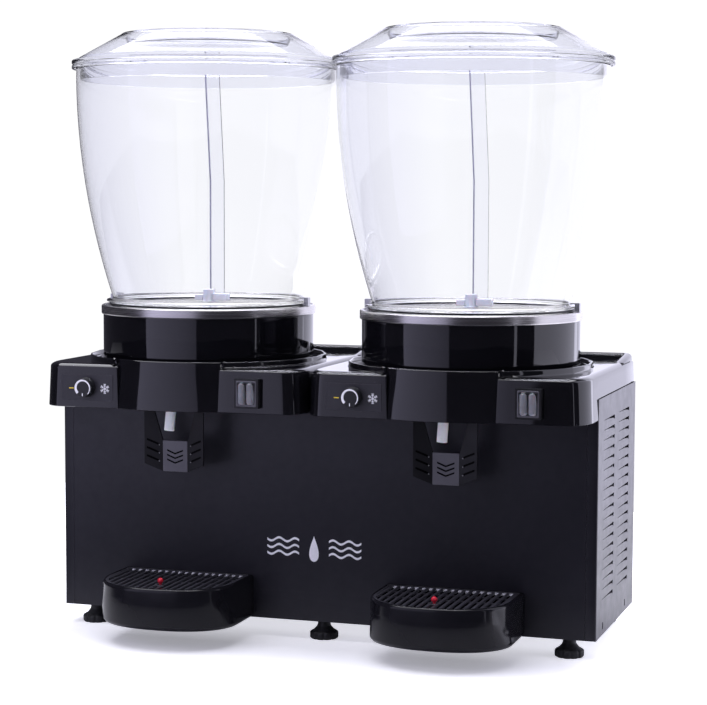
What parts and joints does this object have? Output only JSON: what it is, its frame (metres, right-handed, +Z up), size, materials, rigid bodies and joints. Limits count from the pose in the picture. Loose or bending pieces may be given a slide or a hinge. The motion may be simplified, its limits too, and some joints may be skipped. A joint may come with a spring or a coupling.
{
  "type": "chilled drink dispenser",
  "caption": "Counter-top chilled drink dispenser: clear lift-off bowls on a black louvred cabinet, with stirrers, push levers, thermostat knobs and drip trays.",
  "frame": {"origin": "under the middle of the footprint, on the counter", "axes": "+Z up, front with the levers and trays faces -Y, +X to the right seen from the front"},
  "size_m": [0.72, 0.399, 0.782],
  "materials": {
    "cabinet_paint": "fine powder coat",
    "hood_plastic": "gloss",
    "lever_plastic": "satin",
    "tray_plastic": "gloss",
    "steel": "brushed",
    "clear_plastic": "clear",
    "white_plastic": "satin",
    "silicone": "translucent satin",
    "rubber": "matt",
    "float_red": "gloss",
    "catch_grey": "satin",
    "galvanised": "galvanised",
    "compressor_black": "satin",
    "aluminium": "mill",
    "ferrite": "matt"
  },
  "bodies": {
    "root": {"chassis_base": "galvanised", "front_panel": "cabinet_paint", "side_panel_left": "cabinet_paint", "side_panel_right": "cabinet_paint", "rear_panel": "cabinet_paint", "cable_gland": "rubber", "compressor": "compressor_black", "condenser": "aluminium", "fan_motor": "galvanised", "hood_left": "hood_plastic", "collar_left": "hood_plastic", "cooling_plate_left": "steel", "bowl_gasket_left": "rubber", "stirrer_motor_left": "galvanised", "spout_tube_left": "silicone", "lever_pin_left": "steel", "switch_frame_left": "rubber", "hood_right": "hood_plastic", "collar_right": "hood_plastic", "cooling_plate_right": "steel", "bowl_gasket_right": "rubber", "stirrer_motor_right": "galvanised", "spout_tube_right": "silicone", "lever_pin_right": "steel", "switch_frame_right": "rubber"},
    "fan": {"fan_blades": "aluminium"},
    "foot_1": {"foot_1": "rubber"},
    "foot_2": {"foot_2": "rubber"},
    "foot_3": {"foot_3": "rubber"},
    "foot_4": {"foot_4": "rubber"},
    "foot_5": {"foot_5": "rubber"},
    "foot_6": {"foot_6": "rubber"},
    "bowl_left": {"bowl_left": "clear_plastic", "bowl_catch_left_outer": "catch_grey", "bowl_catch_left_inner": "catch_grey"},
    "lid_left": {"lid_left": "clear_plastic"},
    "drive_left": {"drive_magnet_left": "ferrite"},
    "agitator_left": {"agitator_hub_left": "white_plastic", "paddle_left": "clear_plastic"},
    "lever_left": {"lever_left": "lever_plastic", "lever_spring_left": "steel"},
    "knob_left": {"knob_left": "rubber"},
    "rocker_left": {"rocker_left": "rubber"},
    "tray_left": {"drip_tray_left": "tray_plastic"},
    "grille_left": {"tray_grille_left": "lever_plastic"},
    "float_left": {"tray_float_left": "float_red"},
    "bowl_right": {"bowl_right": "clear_plastic", "bowl_catch_right_outer": "catch_grey", "bowl_catch_right_inner": "catch_grey"},
    "lid_right": {"lid_right": "clear_plastic"},
    "drive_right": {"drive_magnet_right": "ferrite"},
    "agitator_right": {"agitator_hub_right": "white_plastic", "paddle_right": "clear_plastic"},
    "lever_right": {"lever_right": "lever_plastic", "lever_spring_right": "steel"},
    "knob_right": {"knob_right": "rubber"},
    "rocker_right": {"rocker_right": "rubber"},
    "tray_right": {"drip_tray_right": "tray_plastic"},
    "grille_right": {"tray_grille_right": "lever_plastic"},
    "float_right": {"tray_float_right": "float_red"}
  },
  "joints": [
    {"name": "fan_spin", "type": "hinge", "parent": "root", "child": "fan", "pos_m": [0.29, 0.05, 0.165], "axis": [1, 0, 0], "continuous": true},
    {"name": "foot_1_screw", "type": "hinge", "parent": "root", "child": "foot_1", "pos_m": [-0.323, -0.045, 0.02], "axis": [0, 0, 1], "continuous": true},
    {"name": "foot_2_screw", "type": "hinge", "parent": "root", "child": "foot_2", "pos_m": [0, -0.045, 0.02], "axis": [0, 0, 1], "continuous": true},
    {"name": "foot_3_screw", "type": "hinge", "parent": "root", "child": "foot_3", "pos_m": [0.323, -0.045, 0.02], "axis": [0, 0, 1], "continuous": true},
    {"name": "foot_4_screw", "type": "hinge", "parent": "root", "child": "foot_4", "pos_m": [-0.323, 0.171, 0.02], "axis": [0, 0, 1], "continuous": true},
    {"name": "foot_5_screw", "type": "hinge", "parent": "root", "child": "foot_5", "pos_m": [0, 0.171, 0.02], "axis": [0, 0, 1], "continuous": true},
    {"name": "foot_6_screw", "type": "hinge", "parent": "root", "child": "foot_6", "pos_m": [0.323, 0.171, 0.02], "axis": [0, 0, 1], "continuous": true},
    {"name": "bowl_left_lift", "type": "slide", "parent": "root", "child": "bowl_left", "axis": [0, 0, 1], "range_m": [0, 0.33]},
    {"name": "lid_left_lift", "type": "slide", "parent": "bowl_left", "child": "lid_left", "axis": [0, 0, 1], "range_m": [0, 0.08]},
    {"name": "drive_left_spin", "type": "hinge", "parent": "root", "child": "drive_left", "pos_m": [-0.18, 0.0048, 0.41], "axis": [0, 0, 1], "continuous": true},
    {"name": "agitator_left_spin", "type": "hinge", "parent": "root", "child": "agitator_left", "pos_m": [-0.18, 0.0048, 0.427], "axis": [0, 0, 1], "continuous": true},
    {"name": "lever_left_push", "type": "hinge", "parent": "root", "child": "lever_left", "pos_m": [-0.18, -0.107, 0.312], "axis": [1, 0, 0], "range_deg": [0, 15], "stiffness_Nm_per_rad": 1, "springref_deg": -28.65},
    {"name": "knob_left_turn", "type": "hinge", "parent": "root", "child": "knob_left", "pos_m": [-0.2927, -0.13584, 0.3247], "axis": [0, -1, 0], "range_deg": [-90, 225]},
    {"name": "rocker_left_rock", "type": "hinge", "parent": "root", "child": "rocker_left", "pos_m": [-0.07, -0.13984, 0.3245], "axis": [-1, 0, 0], "range_deg": [0, 14]},
    {"name": "tray_left_pull", "type": "slide", "parent": "root", "child": "tray_left", "axis": [0, -1, 0], "range_m": [0, 0.1]},
    {"name": "grille_left_lift", "type": "slide", "parent": "tray_left", "child": "grille_left", "axis": [0, 0, 1], "range_m": [0, 0.03]},
    {"name": "float_left_rise", "type": "slide", "parent": "tray_left", "child": "float_left", "axis": [0, 0, 1], "range_m": [0, 0.01]},
    {"name": "bowl_right_lift", "type": "slide", "parent": "root", "child": "bowl_right", "axis": [0, 0, 1], "range_m": [0, 0.33]},
    {"name": "lid_right_lift", "type": "slide", "parent": "bowl_right", "child": "lid_right", "axis": [0, 0, 1], "range_m": [0, 0.08]},
    {"name": "drive_right_spin", "type": "hinge", "parent": "root", "child": "drive_right", "pos_m": [0.18, 0.0048, 0.41], "axis": [0, 0, 1], "continuous": true},
    {"name": "agitator_right_spin", "type": "hinge", "parent": "root", "child": "agitator_right", "pos_m": [0.18, 0.0048, 0.427], "axis": [0, 0, 1], "continuous": true},
    {"name": "lever_right_push", "type": "hinge", "parent": "root", "child": "lever_right", "pos_m": [0.18, -0.107, 0.312], "axis": [1, 0, 0], "range_deg": [0, 15], "stiffness_Nm_per_rad": 1, "springref_deg": -28.65},
    {"name": "knob_right_turn", "type": "hinge", "parent": "root", "child": "knob_right", "pos_m": [0.0673, -0.13584, 0.3247], "axis": [0, -1, 0], "range_deg": [-90, 225]},
    {"name": "rocker_right_rock", "type": "hinge", "parent": "root", "child": "rocker_right", "pos_m": [0.29, -0.13984, 0.3245], "axis": [-1, 0, 0], "range_deg": [0, 14]},
    {"name": "tray_right_pull", "type": "slide", "parent": "root", "child": "tray_right", "axis": [0, -1, 0], "range_m": [0, 0.1]},
    {"name": "grille_right_lift", "type": "slide", "parent": "tray_right", "child": "grille_right", "axis": [0, 0, 1], "range_m": [0, 0.03]},
    {"name": "float_right_rise", "type": "slide", "parent": "tray_right", "child": "float_right", "axis": [0, 0, 1], "range_m": [0, 0.01]}
  ],
  "couplings": [
    {"joint": "agitator_left_spin", "follows": "drive_left_spin", "ratio": 1},
    {"joint": "agitator_right_spin", "follows": "drive_right_spin", "ratio": 1}
  ]
}
